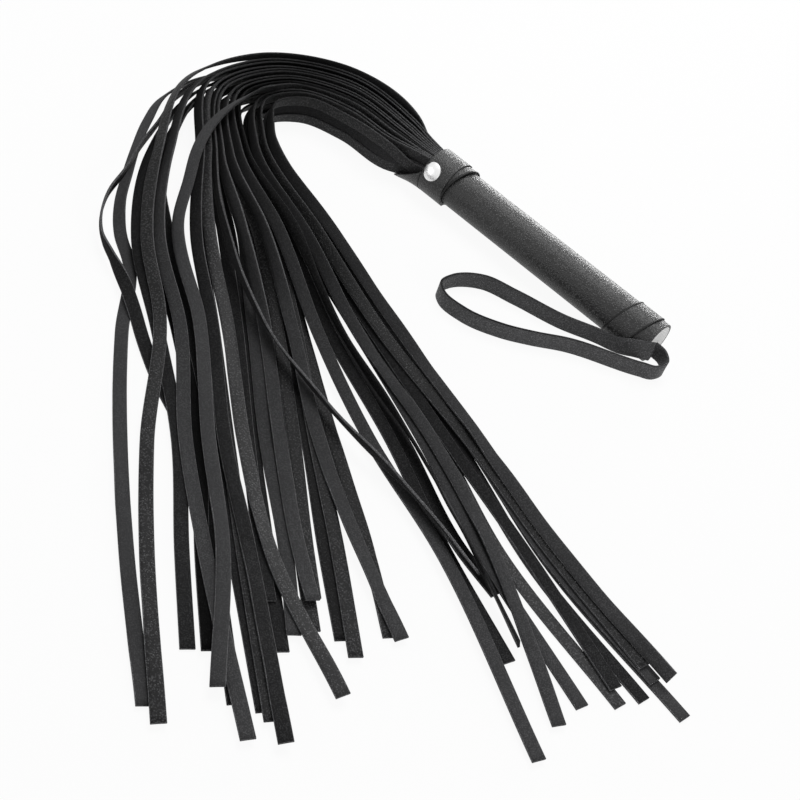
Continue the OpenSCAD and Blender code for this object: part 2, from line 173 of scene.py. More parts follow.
FAN_MID = [
    [[-188, -82, 6.4, 76], [-177, -102, 6.2, 82], [-169, -119, 5.6, 84], [-158, -139, 4.6, 84],
        [-150, -156, 3.4, 84], [-141, -167, 2.6, 88], [-129, -176, 2.6, 96], [-116, -181, 2.6, 80],
        [-99, -187, 2.6, 22], [-88, -192, 2.4, 9],
        [-72, -200, 0.8, 6], [-57, -207, 0.2, 4], [-17, -222, 0, 0], [31, -252, 0, 0], [86, -291, 0, 0]],
    [[-163, -118, 6, 40], [-121, -162, 4, 20], [-70, -193, 2.2, 8],
        [-19, -226, 1.5, 0], [24, -262, 1.5, 0], [58, -289, 0, 0]],
    [[-156, -115, 6, 46], [-116, -156, 4, 28], [-66, -185, 2.2, 10],
        [-14, -219, 1.5, 0], [29, -256, 1.5, 0], [64, -284, 1.5, 0]],
    [[-145, -100, 6, 50], [-104, -138, 4, 26], [-58, -171, 2.2, 8],
        [-7, -209, 1.5, 0], [39, -243, 1.5, 0], [100, -286, 1.5, 0]],
    [[-142, -96, 6, 56], [-98, -128, 4, 28], [-52, -162, 2.2, 8],
        [-2, -202, 1.5, 0], [43, -237, 1.5, 0], [62, -251, 1.5, 0]],
    [[-140, -91, 6, 70], [-94, -121, 6, 62], [-47, -156, 2.2, 8],
        [3, -196, 1.5, 0], [49, -229, 1.5, 0], [79, -254, 1.5, 0]],
    [[-139, -87, 6, 68], [-90, -114, 6, 56], [-42, -146, 2.2, 8],
        [10, -186, 1.5, 0], [54, -222, 1.5, 0], [72, -236, 1.5, 0]],
    [[-138, -84, 6, 62], [-87, -108, 6, 36], [-37, -139, 2.2, 8],
        [15, -178, 1.5, 0], [62, -212, 1.5, 0], [101, -242, 1.5, 0]],
    [[-138, -79, 6, 72], [-83, -102, 6, 66], [-29, -126, 2.4, 12],
        [35, -150, 1.5, 0], [89, -175, 1.5, 0], [141, -194, 0, 0]],
    [[-138, -74, 6, 72], [-79, -96, 4.6, 44], [-22, -114, 2.2, 8],
        [46, -139, 1.5, 0], [100, -163, 1.5, 0], [173, -186, 0, 0]],
    [[-139, -67, 6, 68], [-76, -90, 4, 30], [-17, -108, 2.2, 8],
        [51, -129, 1.5, 0], [111, -147, 1.5, 0], [177, -169, 1.5, 0]],
    [[-141, -59, 6, 66], [-70, -82, 4, 28], [-11, -101, 2.2, 8],
        [56, -120, 1.5, 0], [121, -142, 1.5, 0], [186, -153, 1.5, 0]]
]
FAN_LOW = [
    [[-201, -58, 0.1, 66], [-198, -80, 0.1, 52], [-188, -98, 0, 40], [-176, -115, 0, 34],
        [-160, -135, 0, 28], [-146, -151, 0, 24], [-130, -164, 0, 16], [-113, -173, 0, 10],
        [-80, -205, 0, 6], [-32, -246, 1.2, 0], [11, -279, 1.5, 0], [66, -317, 0, 0]],
    [[-160, -113, 0, 42], [-114, -148, 0, 22], [-65, -178, 0, 8],
        [-11, -214, 0, 0], [36, -245, 0, 0], [95, -285, 0, 0]],
    [[-145, -91, 0, 54], [-99, -122, 0, 30], [-52, -159, 0, 8],
        [-2, -199, 0, 0], [44, -234, 0, 0], [81, -262, 0, 0]],
    [[-143, -85, 0, 62], [-93, -114, 0, 44], [-45, -148, 0.1, 8],
        [8, -187, 0, 0], [52, -223, 0, 0], [82, -246, 0, 0]],
    [[-142, -80, 0, 66], [-90, -109, 0, 58], [-41, -141, 0.2, 8],
        [13, -180, 0, 0], [58, -215, 0, 0], [92, -240, 0, 0]],
    [[-142, -76, 0, 68], [-87, -104, 0, 58], [-35, -136, 0.2, 8],
        [20, -171, 0, 0], [69, -201, 0, 0], [103, -224, 0, 0]],
    [[-142, -72, 0, 68], [-84, -98, 0, 36], [-28, -122, 0, 8],
        [37, -144, 0, 0], [93, -168, 0, 0], [117, -173, 0, 0]],
    [[-142, -66, 0, 68], [-79, -90, 0, 30], [-20, -110, 0, 8],
        [47, -131, 0, 0], [105, -156, 0, 0], [183, -173, 0, 0]],
    [[-142, -59, 0, 66], [-75, -83, 0, 28], [-16, -103, 0, 8],
        [52, -124, 0, 0], [121, -150, 0, 0], [188, -163, 0, 0]],
    [[-142, -52, 0, 64], [-71, -76, 0, 28], [-12, -96, 0, 8],
        [56, -118, 0, 0], [122, -142, 0, 0], [204, -156, 0, 0]]
]
FANS = (FAN_TOP, FAN_MID, FAN_LOW)

STRAP_WAY = [
    [X_REAR - SLOT_DEPTH + 0.5, SLOT_Y, SLOT_Z - STRAP_W / 2, 90],
    [75, SLOT_Y, SLOT_Z - STRAP_W / 2, 90],
    [80.5, 1, 2.2, 90], [85.5, -3, 1, 90], [83.8, -9.5, 0, 90], [78.5, -13.5, 0, 90],
    [45, -34, 0, 90], [33, -45, 0, 90], [20, -55, 0, 90], [2, -63, 0, 90], [-12, -63, 0, 90],
    [-17, -59, 0, 90], [-17, -51, 0, 90], [-7, -36, 0, 90], [9, -30, 0, 90], [35, -22, 0, 90],
    [51, -14.5, 0.3, 90],
    [62, SIDE_Y, 2.2, 90], [71, SIDE_Y, 7.6, 90], [80, SIDE_Y, 13, 90],
]


def half_height(roll, width, thick):
    """How far a strip's middle stands over its lower edge, when turned by roll degrees."""
    turn = np.radians(roll)
    return (width * abs(np.sin(turn)) + thick * abs(np.cos(turn))) / 2


def raised(point, width, thick):
    """The point with its height measured to the strip's middle, not to its lower edge."""
    x, y, low, roll = point
    return [x, y, low + half_height(roll, width, thick), roll]


def tail_way(row, place):
    """The route of one tail, from its root in the collar to its cut end."""
    fan = FANS[row][place]
    held_row, held_place = MOUTH[row][place]
    y = ((MOUTH_LEN[held_row] - 1) / 2 - held_place) * TAIL_PITCH
    z = AXIS_Z + (1 - held_row) * ROW_PITCH - TAIL_W / 2
    way = [
        [X_FRONT + CLAMP_LEN, y, z, 90],
        [X_FRONT + 7, y, z, 90],
        [X_FRONT, y, z, 90],
        [X_FRONT - 9, y * 1.3, z - 0.3, 90],
    ]
    lane = LANES[row][place]
    level = 2 - row
    # a tail that crosses the others leaves the arch before its last gate
    gates = GATES[:-1] if len(fan) > FAN_POINTS else GATES
    for outer, inner, low, pitch in gates:
        x, y, roll = (o + (i - o) * lane for o, i in zip(outer, inner))
        way.append([x, y, low + pitch * level, roll])
    way += fan
    return [raised(point, TAIL_W, TAIL_T) for point in way]


def smooth_curve(way, step):
    """A smooth curve through the route's points, sampled about every step millimetres."""
    p = np.array(way, float)
    gap = np.linalg.norm(np.diff(p[:, :3], axis=0), axis=1)
    slope = np.diff(p, axis=0) / gap[:, None]
    head = [slope[0]]
    for i in range(1, len(p) - 1):
        head.append((slope[i - 1] * gap[i] + slope[i] * gap[i - 1]) / (gap[i - 1] + gap[i]))
    head.append(slope[-1])
    samples = []
    for i in range(len(p) - 1):
        count = max(1, math.ceil(gap[i] / step))
        for u in np.arange(count) / count:
            q = (2 * u**3 - 3 * u**2 + 1) * p[i] + (u**3 - 2 * u**2 + u) * gap[i] * head[i]
            q = q + (3 * u**2 - 2 * u**3) * p[i + 1] + (u**3 - u**2) * gap[i] * head[i + 1]
            q[3] = p[i, 3] + (p[i + 1, 3] - p[i, 3]) * u
            samples.append(q)
    samples.append(p[-1])
    return np.array(samples)


def travelled(line):
    """The distance from the start of a sampled line to each of its samples."""
    step = np.linalg.norm(np.diff(line[:, :3], axis=0), axis=1)
    return np.concatenate([[0], np.cumsum(step)])


# how far before its far end a strip starts to lean or to be cut aslant
END_REACH = 14


def nearness_to_end(line):
    """For each sample, 1 at the line's far end, falling to 0 where END_REACH is left to go."""
    travel = travelled(line)
    return np.clip(1 - (travel[-1] - travel) / END_REACH, 0, 1)


# ---- leather strips ----

# how far the corners of a strip's section are worn back
CUT_ROUND = 0.22
# the three finishes of a strip, and which of them each side of its section has
UPPER, LOWER, EDGE = 0, 1, 2
SECTION_FINISHES = [UPPER] * 4 + [EDGE] * 3 + [LOWER] * 4 + [EDGE] * 3


def strip_section(width, thick, cup):
    """The strip's outline: across and through, round from the face that is up."""
    e = CUT_ROUND
    across = [-width / 2 + e, -width / 4, 0, width / 4, width / 2 - e]
    bow = [cup * (1 - (2 * a / width) ** 2) for a in across]
    top = [(a, thick / 2 + b) for a, b in zip(across, bow)]
    low = [(a, -thick / 2 + b) for a, b in zip(across, bow)]
    right = [(width / 2, thick / 2 - e), (width / 2, -thick / 2 + e)]
    left = [(-width / 2, -thick / 2 + e), (-width / 2, thick / 2 - e)]
    return top + right + low[::-1] + left


def strip_verts(line, section, width, slant):
    """The corners of a strip, a ring of them at each sample of its line."""
    along = np.gradient(line[:, :3], axis=0)
    along /= np.linalg.norm(along, axis=1)[:, None]
    side = np.cross([0, 0, 1], along)
    side /= np.linalg.norm(side, axis=1)[:, None]
    up = np.cross(along, side)
    roll = np.radians(line[:, 3])[:, None]
    wide = side * np.cos(roll) + up * np.sin(roll)
    deep = up * np.cos(roll) - side * np.sin(roll)
    # the far end is cut back, its lower corner most and its upper one not at all
    cut_back = slant * nearness_to_end(line) ** 1.5
    verts = []
    for i, middle in enumerate(line[:, :3]):
        for a, b in section:
            back = cut_back[i] * (0.5 - a / width) ** 2
            verts.append((middle + a * wide[i] + b * deep[i] - back * along[i]) * MM)
    return verts


def strip_faces(rings, turns):
    """The faces between the rings of a strip, then its two ends."""
    faces = []
    for i in range(rings - 1):
        for k in range(turns):
            a = turns * i + k
            b = turns * i + (k + 1) % turns
            faces.append((a, a + turns, b + turns, b))
    faces.append(tuple(range(turns)))
    faces.append(tuple(turns * rings - 1 - k for k in range(turns)))
    return faces


def lay_grain(mesh, section, travel):
    """Gives each face of a strip its finish, and lays the grain round and along it in metres."""
    turns = len(section)
    girth = [0]
    for (a, b), (c, d) in zip(section, section[1:] + section[:1]):
        girth.append(girth[-1] + math.hypot(c - a, d - b))
    uv = mesh.uv_layers.new(name="leather")
    for face in mesh.polygons:
        # the strip's two ends have a corner for each point of the section
        if len(face.vertices) == turns:
            face.material_index = EDGE
            for loop in face.loop_indices:
                k = mesh.loops[loop].vertex_index % turns
                uv.data[loop].uv = (section[k][0] * MM, section[k][1] * MM)
            continue
        ring, k = divmod(face.index, turns)
        face.material_index = SECTION_FINISHES[k]
        face.use_smooth = True
        corners = ((ring, k), (ring + 1, k), (ring + 1, k + 1), (ring, k + 1))
        for loop, (r, g) in zip(face.loop_indices, corners):
            uv.data[loop].uv = (girth[g] * MM, travel[r] * MM)


def leather_strip(name, line, width, thick, finishes, cup=0, slant=0):
    """A strip of leather along a sampled line, and its length in metres.

    Its finishes are those of its upper face, its lower face and its cut edges. Cup is how
    far its middle bows up, and slant how far its far end's lower corner is cut back.
    """
    section = strip_section(width, thick, cup)
    travel = travelled(line)
    mesh = bpy.data.meshes.new(name)
    mesh.from_pydata(
        strip_verts(line, section, width, slant), [], strip_faces(len(line), len(section)))
    lay_grain(mesh, section, travel)
    for finish in finishes:
        mesh.materials.append(finish)
    piece = bpy.data.objects.new(name, mesh)
    bpy.context.scene.collection.objects.link(piece)
    return piece, float(travel[-1]) * MM


# ---- what the finishes are made of ----


def new_finish(name):
    """A new material with a bare shader: the material, its node tree and the shader."""
    material = bpy.data.materials.new(name)
    material.use_nodes = True
    tree = material.node_tree
    tree.nodes.clear()
    output = tree.nodes.new("ShaderNodeOutputMaterial")
    shader = tree.nodes.new("ShaderNodeBsdfPrincipled")
    tree.links.new(shader.outputs["BSDF"], output.inputs["Surface"])
    return material, tree, shader


def feed(tree, value, socket):
    """Links a socket to another node's output, or sets it to a plain number or colour."""
    if isinstance(value, bpy.types.NodeSocket):
        tree.links.new(value, socket)
    else:
        socket.default_value = value


def worked_out(tree, operation, *values):
    """What a math node makes of its values, each a number or another node's output."""
    node = tree.nodes.new("ShaderNodeMath")
    node.operation = operation
    for value, socket in zip(values, node.inputs):
        feed(tree, value, socket)
    return node.outputs["Value"]


def ranged(tree, value, was, becomes, how="LINEAR"):
    """A value fitted from the range that it was in to the one that it becomes."""
    node = tree.nodes.new("ShaderNodeMapRange")
    node.interpolation_type = how
    node.inputs["From Min"].default_value, node.inputs["From Max"].default_value = was
    node.inputs["To Min"].default_value, node.inputs["To Max"].default_value = becomes
    tree.links.new(value, node.inputs["Value"])
    return node.outputs["Result"]


def cloudy(tree, place, scale, detail, rough=0.5):
    """A value that comes and goes in clouds over the pattern's coordinates."""
    node = tree.nodes.new("ShaderNodeTexNoise")
    node.inputs["Scale"].default_value = scale
    node.inputs["Detail"].default_value = detail
    node.inputs["Roughness"].default_value = rough
    tree.links.new(place, node.inputs["Vector"])
    return node.outputs["Fac"]


def blended(tree, share, first, second, how="MIX"):
    """Two colours, mixed or multiplied by a share."""
    node = tree.nodes.new("ShaderNodeMix")
    node.data_type = "RGBA"
    node.blend_type = how
    feed(tree, share, node.inputs["Factor"])
    feed(tree, first, node.inputs["A"])
    feed(tree, second, node.inputs["B"])
    return node.outputs["Result"]


def embossed(tree, height, depth, strength=1.0):
    """A bump node that stands up depth metres for a height of 1."""
    node = tree.nodes.new("ShaderNodeBump")
    node.inputs["Strength"].default_value = strength
    node.inputs["Distance"].default_value = depth
    tree.links.new(height, node.inputs["Height"])
    return node


def place_of_pattern(tree, on_strip, size):
    """The pattern's coordinates, one unit to a grain: along a strip, or in space on a solid."""
    source = tree.nodes.new("ShaderNodeTexCoord")
    mapping = tree.nodes.new("ShaderNodeMapping")
    mapping.inputs["Scale"].default_value = (1 / size, 1 / size, 1 / size)
    tree.links.new(source.outputs["UV" if on_strip else "Object"], mapping.inputs["Vector"])
    return mapping.outputs["Vector"]


# ---- leather ----

# painted shade along each tail: how much of its full tone a tail's face and its cut edges show
# along its length, as stops over PAINTED_SHADE_LENGTH metres: lighter at the root, darkest
# through the bend where the tails crowd and shade each other, lighter again towards the cut end
TAIL_PAINTED_SHADE = ((0.0, 0.72), (0.10, 0.48), (0.22, 0.20), (0.45, 0.34), (0.70, 0.64), (0.95, 0.88))
EDGE_PAINTED_SHADE = ((0.0, 0.60), (0.10, 0.32), (0.22, 0.09), (0.42, 0.32), (0.60, 0.68), (0.95, 0.90))
PAINTED_SHADE_LENGTH = 0.5
# the radius that a solid's cut edges look worn to
WORN_EDGE = 0.0004
# how uneven the hide is, in heights of a pebble
UNEVEN = 1.5
# leather is a little cooler than grey: its blue, for a red and a green of 1
COOL = 1.03


def tone(value):
    """A leather's colour from its brightness."""
    return (value, value, value * COOL, 1)


def painted_shade_along(tree, shade_stops):
    """The painted shade along a strip: how much of its tone it shows at each place, by a table of stops.
    """
    source = tree.nodes.new("ShaderNodeTexCoord")
    parts = tree.nodes.new("ShaderNodeSeparateXYZ")
    tree.links.new(source.outputs["UV"], parts.inputs["Vector"])
    ramp = tree.nodes.new("ShaderNodeValToRGB")
    stops = ramp.color_ramp.elements
    stops[0].position, stops[1].position = shade_stops[0][0], shade_stops[-1][0]
    for position, _ in shade_stops[1:-1]:
        stops.new(position)
    for stop, (_, value) in zip(stops, shade_stops):
        stop.color = (value, value, value, 1)
    tree.links.new(worked_out(tree, "DIVIDE", parts.outputs["Y"], PAINTED_SHADE_LENGTH), ramp.inputs["Fac"])
    return ramp.outputs["Color"]


def leather(name, crease, pebble, rough, size, depth, on_strip=True, specular=0.3, sheen=0.0,
            shade_stops=None):
    """Leather with pebbles of a size and a depth; crease and pebble are its two brightnesses, the darker
    one painted shade in the creases and the paler one painted highlight on the pebble tops.
    """
    material, tree, shader = new_finish(name)
    place = place_of_pattern(tree, on_strip, size)
    cells = tree.nodes.new("ShaderNodeTexVoronoi")
    cells.inputs["Scale"].default_value = 1.0
    cells.inputs["Randomness"].default_value = 0.95
    tree.links.new(place, cells.inputs["Vector"])
    swell = ranged(tree, cells.outputs["Distance"], (0.62, 0.12), (0, 1), "SMOOTHSTEP")
    # each pebble has a tone of its own
    odds = tree.nodes.new("ShaderNodeSeparateColor")
    tree.links.new(cells.outputs["Color"], odds.inputs["Color"])
    own = ranged(tree, odds.outputs["Red"], (0, 1), (0.4, 1))
    pebbles = worked_out(tree, "MULTIPLY", swell, own)
    # wear comes and goes along the hide
    wear = cloudy(tree, place, scale=0.07, detail=5, rough=0.6)
    amount = worked_out(tree, "MULTIPLY", pebbles, ranged(tree, wear, (0.3, 0.7), (0.55, 1)))
    # the colour goes from the crease tone to the pebble tone with each pebble's height, own tone and
    # wear: painted shade in the creases and painted highlight on the pebble tops
    colour = blended(tree, amount, tone(crease), tone(pebble))
    # painted shade along the strip, darkest through the bend
    if shade_stops:
        colour = blended(tree, 1.0, colour, painted_shade_along(tree, shade_stops), "MULTIPLY")
    tree.links.new(colour, shader.inputs["Base Color"])
    # the pebbles stand up, over a slower unevenness of the hide
    grain = embossed(tree, worked_out(tree, "MULTIPLY_ADD", wear, UNEVEN, pebbles), depth)
    tree.links.new(grain.outputs["Normal"], shader.inputs["Normal"])
    if not on_strip:
        soft = tree.nodes.new("ShaderNodeBevel")
        soft.samples = 6
        soft.inputs["Radius"].default_value = WORN_EDGE
        tree.links.new(soft.outputs["Normal"], grain.inputs["Normal"])
    # the pebbles are smoother than the creases
    shine = ranged(tree, amount, (0, 1), (rough + 0.1, rough - 0.08))
    tree.links.new(shine, shader.inputs["Roughness"])
    shader.inputs["Specular IOR Level"].default_value = specular
    shader.inputs["Sheen Weight"].default_value = sheen
    shader.inputs["Sheen Roughness"].default_value = 0.35
    return material


def pebbled_face(name, crease, pebble, rough=0.50, depth=0.00020, specular=0.12, shade_stops=TAIL_PAINTED_SHADE):
    """A tail's grain side, which has pebbles."""
    return leather(
        name, crease, pebble, rough, size=0.0009, depth=depth, specular=specular, shade_stops=shade_stops)


def smooth_face(name, crease, pebble, rough=0.80, specular=0.05, shade_stops=TAIL_PAINTED_SHADE):
    """A tail's flesh side, which is nearly smooth."""
    return leather(
        name, crease, pebble, rough, size=0.0005, depth=0.00004, specular=specular, shade_stops=shade_stops)


# copies of one leather from pale to dark: partly the tails' own tones, partly painted light on the light
# copies and painted shade on the dark ones, since each tail takes the copy that matches how light it
# looks
PEBBLED_LIGHT = pebbled_face(
    "leather pebbled face, light, partly painted light", 0.030, 0.175, rough=0.52, specular=0.2)
PEBBLED = pebbled_face("leather pebbled face", 0.016, 0.120)
PEBBLED_DARK = pebbled_face(
    "leather pebbled face, dark, partly painted shade", 0.007, 0.055, depth=0.00018, specular=0.08)
SMOOTH_LIGHT = smooth_face("leather smooth face, light, partly painted light", 0.055, 0.150, specular=0.08)
SMOOTH_MID = smooth_face("leather smooth face", 0.022, 0.085)
SMOOTH_DARK = smooth_face("leather smooth face, dark, partly painted shade", 0.002, 0.018, rough=0.75)
SMOOTH_PALE = smooth_face("leather smooth face, pale", 0.046, 0.096, specular=0.08, shade_stops=None)
PEBBLED_PALE = pebbled_face(
    "leather pebbled face, pale", 0.022, 0.115, rough=0.52, specular=0.2, shade_stops=None)
# the cut edges are far paler than the faces: partly the raw edge's own paler colour, partly painted
# highlight along the strips' edges
CUT_EDGE = leather(
    "leather cut edge", 0.100, 0.500, rough=0.80, size=0.0004, depth=0.00006,
    specular=0.1, shade_stops=EDGE_PAINTED_SHADE)
COVER = leather(
    "handle leather", 0.002, 0.065, rough=0.38, size=0.0009, depth=0.00022,
    on_strip=False, specular=0.5, sheen=0.1)
BAND = leather(
    "collar leather", 0.002, 0.060, rough=0.38, size=0.0009, depth=0.00021,
    on_strip=False, specular=0.5, sheen=0.1)
STRAP_FACE = leather(
    "strap leather", 0.060, 0.200, rough=0.50, size=0.0007, depth=0.00014,
    specular=0.2, sheen=0.1)
# the turned edges are much darker than the bands: painted shade, the dark shadow line along each band's
# edge
SHADED_EDGE_ROLL = leather(
    "turned edge", 0.001, 0.014, rough=0.45, size=0.0006, depth=0.00006, on_strip=False)

# ---- metal and core ----


def nickel(name):
    """Bright plated metal with faint handling marks."""
    material, tree, shader = new_finish(name)
    place = place_of_pattern(tree, on_strip=False, size=0.0011)
    marks = cloudy(tree, place, scale=1, detail=4)
    tree.links.new(ranged(tree, marks, (0, 1), (0.30, 0.42)), shader.inputs["Roughness"])
    shader.inputs["Metallic"].default_value = 1.0
    shader.inputs["Base Color"].default_value = (0.80, 0.80, 0.80, 1)
    return material


def pale_core(name):
    """The pale cut end of the handle's core."""
    material, tree, shader = new_finish(name)
    place = place_of_pattern(tree, on_strip=False, size=0.0006)
    grit = cloudy(tree, place, scale=1, detail=6)
    colour = blended(tree, grit, (0.62, 0.62, 0.62, 1), (0.82, 0.82, 0.81, 1))
    tree.links.new(colour, shader.inputs["Base Color"])
    rough_cut = embossed(tree, grit, 0.0002, strength=0.5)
    tree.links.new(rough_cut.outputs["Normal"], shader.inputs["Normal"])
    shader.inputs["Roughness"].default_value = 0.85
    return material


NICKEL = nickel("nickel")
CORE = pale_core("core end")

# ---- the tails ----

TAIL_STEP = 3.0
TAIL_CUP = 0.1

# each tail's face that lies up and the one that lies down, from the outermost lane to the
# innermost: P pebbled and S smooth, from 0, pale, to 3, dark; partly the tails' own tones,
# partly painted light and painted shade for how light falls on each tail
P0, P1, P2, P3 = PEBBLED_PALE, PEBBLED_LIGHT, PEBBLED, PEBBLED_DARK
S0, S1, S2, S3 = SMOOTH_PALE, SMOOTH_LIGHT, SMOOTH_MID, SMOOTH_DARK
FACES = (
    ((P2, S1), (S1, P2), (S0, P1), (S2, S3), (P0, P3), (S2, P2), (S1, P2),
     (S1, P3), (S1, S3), (P3, S1), (S1, P2), (P2, P1), (S1, P1)),
    ((S2, P3), (S2, S3), (S3, P3), (P2, S3), (S2, P3), (S1, S3), (P2, S3),
     (P2, S3), (S2, P3), (S1, P2), (S2, P3), (S0, S1)),
    ((S0, P2), (S2, S3), (S2, P3), (P2, S3), (P3, P3), (P2, S3), (S2, P3),
     (P1, S3), (S2, P3), (S1, P0)),
)
# the tails whose cut edges take the darker smooth-face finish instead of the pale cut edge
DARK_EDGED = (10,)

# soft leather never lies quite straight. The tails that lie loose on the others roll to and
# fro: by how many degrees, and where along the tail the sway starts and is full
LOOSE = (1, 3, 4, 5, 6, 7, 8, 10, 11, 13, 26, 31)
SWAY = 12.0
SWAY_FROM, SWAY_FULL = 90, 260
# the sway is a long wave with a short one on it: their lengths, the short one's share, and
# how far each is shifted from one tail to the next, in radians
SWAY_LONG, SWAY_SHORT = 118, 47
SHORT_SHARE = 0.5
LONG_SHIFT = 2.4
SHORT_SHIFT = 1.7 * LONG_SHIFT


def swayed(line, number):
    """The tail's line with a slow roll to and fro, its lower edge kept at its height."""
    travel = travelled(line)
    share = np.clip((travel - SWAY_FROM) / (SWAY_FULL - SWAY_FROM), 0, 1)
    wave = np.sin(2 * np.pi * travel / SWAY_LONG + LONG_SHIFT * number)
    wave += SHORT_SHARE * np.sin(2 * np.pi * travel / SWAY_SHORT + SHORT_SHIFT * number)
    roll = line[:, 3] + SWAY * share * wave / (1 + SHORT_SHARE)
    moved = line.copy()
    moved[:, 2] += half_height(roll, TAIL_W, TAIL_T) - half_height(line[:, 3], TAIL_W, TAIL_T)
    moved[:, 3] = roll
    return moved


def dress_tail(number, row, place):
    """One tail's leather, in place of the frame's plain strip."""
    node = f"tail_{number:02d}"
    line = smooth_curve(tail_way(row, place), TAIL_STEP)
    if number in LOOSE:
        line = swayed(line, number)
    finishes = (*FACES[row][place], SMOOTH_MID if number in DARK_EDGED else CUT_EDGE)
    tail, length = leather_strip(
        f"{node}_leather", line, TAIL_W, TAIL_T, finishes, cup=TAIL_CUP)
    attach(tail, BODY)
    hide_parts(node)


places = [(row, place) for row, fan in enumerate(FANS) for place in range(len(fan))]
for number, (row, place) in enumerate(places, 1):
    dress_tail(number, row, place)

# ---- the wrist strap ----

STRAP_STEP = 1.2
# how many degrees the strap's cut end leans in against the handle, and how far its lower
# corner is cut back
STRAP_LEAN = 22
STRAP_SLANT = 3


def dress_strap():
    """The wrist strap's leather, in place of the frame's plain strip."""
    line = smooth_curve([raised(p, STRAP_W, STRAP_T) for p in STRAP_WAY], STRAP_STEP)
    line[:, 3] -= STRAP_LEAN * nearness_to_end(line)
    finishes = (STRAP_FACE, STRAP_FACE, CUT_EDGE)
    strap, length = leather_strip(
        "wrist_strap_leather", line, STRAP_W, STRAP_T, finishes, slant=STRAP_SLANT)
    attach(strap, BODY)
    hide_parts("wrist_strap")


dress_strap()

# ---- the handle ----

for node, material in (
    ("core_rod", CORE), ("handle_cover", COVER), ("front_collar", BAND), ("rear_wrap", BAND),
    ("rivet_cap", NICKEL), ("rivet_post", NICKEL), ("rivet_back", NICKEL),
):
    piece = frame["nodes"][node]
    piece.data.materials.clear()
    piece.data.materials.append(material)

# ---- the handle's fine pieces ----

# the largest angle, in degrees, that still shades as a smooth surface
SMOOTH_ANGLE = 40


def start_shape(name):
    """The piece just added, named and in edit mode with all of it selected."""
    piece = bpy.context.object
    piece.name = name
    bpy.ops.object.mode_set(mode="EDIT")
    bpy.ops.mesh.select_all(action="SELECT")
    return piece


def end_shape(piece, material):
    """Leaves edit mode, smooths what isn't a corner and gives the piece its finish."""
    bpy.ops.mesh.select_all(action="SELECT")
    bpy.ops.mesh.normals_make_consistent(inside=False)
    bpy.ops.object.mode_set(mode="OBJECT")
    bpy.ops.object.shade_smooth_by_angle(angle=math.radians(SMOOTH_ANGLE))
    piece.data.materials.append(material)
    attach(piece, BODY)


RIVET_R = 5
RIVET_RIM = 0.8
RIVET_DOME = 1.5
# the radii of the rings that the dome is drawn up in
RIVET_RINGS = (4.7, 4.3, 3.8, 3.2, 2.5, 1.7, 0.8)
# the rivet's place: how far it is behind the collar's front edge and how far its seat is from
# the axis, and in degrees how far it is turned round the handle to the near side and leans
# along the handle, to the front below 0
RIVET_BACK = 7
RIVET_SEAT = 12.1
RIVET_TURN = 58
RIVET_LEAN = -8


def domed_cap():
    """The rivet's cap: a disc whose upper face is drawn up in rings to a low dome."""
    bpy.ops.object.select_all(action="DESELECT")
    bpy.ops.mesh.primitive_cylinder_add(vertices=64, radius=RIVET_R * MM, depth=RIVET_RIM * MM)
    cap = start_shape("rivet_cap_dome")
    bpy.ops.mesh.select_all(action="DESELECT")
    bpy.ops.mesh.select_mode(type="FACE")
    mesh = bmesh.from_edit_mesh(cap.data)
    # only the disc's upper face
    for face in mesh.faces:
        face.select = face.normal.z > 0.9
    bmesh.update_edit_mesh(cap.data)
    ball_r = (RIVET_R**2 + RIVET_DOME**2) / (2 * RIVET_DOME)
    ring, height = RIVET_R, 0.0
    for inner in RIVET_RINGS:
        rise = math.sqrt(ball_r**2 - inner**2) - ball_r + RIVET_DOME
        bpy.ops.mesh.inset(thickness=(ring - inner) * MM)
        bpy.ops.transform.translate(value=(0, 0, (rise - height) * MM))
        ring, height = inner, rise
    place = (Matrix.Translation(Vector((X_FRONT + RIVET_BACK, 0, AXIS_Z)) * MM)
             @ Matrix.Rotation(math.radians(RIVET_TURN), 4, "X")
             @ Matrix.Rotation(math.radians(RIVET_LEAN), 4, "Y")
             @ Matrix.Translation(Vector((0, 0, RIVET_SEAT + RIVET_RIM / 2)) * MM))
    end_shape(cap, NICKEL)
    cap.data.transform(place)
    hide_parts("rivet_cap")


# how much wider along the handle than thick a turned edge is
ROLL_STRETCH = 1.5
# how far each band's edge runs back for a millimetre to the far side and for one up
WRAP_LEAN = (0.158, 0.271)
COLLAR_LEAN = (0.167, 0.170)


def turned_edge(name, x, leaning, radius, thick, lowest):
    """A band's turned edge: a thin roll round the handle, leaning with the band's own edge.

    Its plane crosses the handle's axis at x, and it is cut off below the height lowest.
    """
    bpy.ops.object.select_all(action="DESELECT")
    bpy.ops.mesh.primitive_torus_add(
        major_segments=120, minor_segments=10, rotation=(0, math.pi / 2, 0),
        major_radius=radius * MM, minor_radius=thick / 2 * MM)
    bpy.ops.object.transform_apply(location=True, rotation=True, scale=True)
    roll = start_shape(name)
    bpy.ops.transform.resize(value=(ROLL_STRETCH, 1, 1))
    bpy.ops.mesh.bisect(plane_co=(0, 0, (lowest - AXIS_Z) * MM), plane_no=(0, 0, 1),
                        use_fill=True, clear_inner=True)
    # the roll's dark leather paints the shadow line along the band's edge
    end_shape(roll, SHADED_EDGE_ROLL)
    lean = Matrix.Identity(4)
    lean[0][1], lean[0][2] = leaning
    roll.data.transform(Matrix.Translation(Vector((x, 0, AXIS_Z)) * MM) @ lean)


BAND_T = 0.8
TONGUE_LEN = 16
# how far the tongue's tip stands out beyond the collar
TONGUE_FLARE = 2.5
# the tongue's upper and lower edges at the collar, and its tip, in degrees up from the near side
TONGUE_TOP = 16
TONGUE_BOTTOM = -64
TONGUE_TIP = -42
# how late the upper and the lower edge turn in to the tip
TOP_CURVE = 0.8
BOTTOM_CURVE = 2.5
# points nearer than this are one, in metres
SAME_POINT = 0.00002


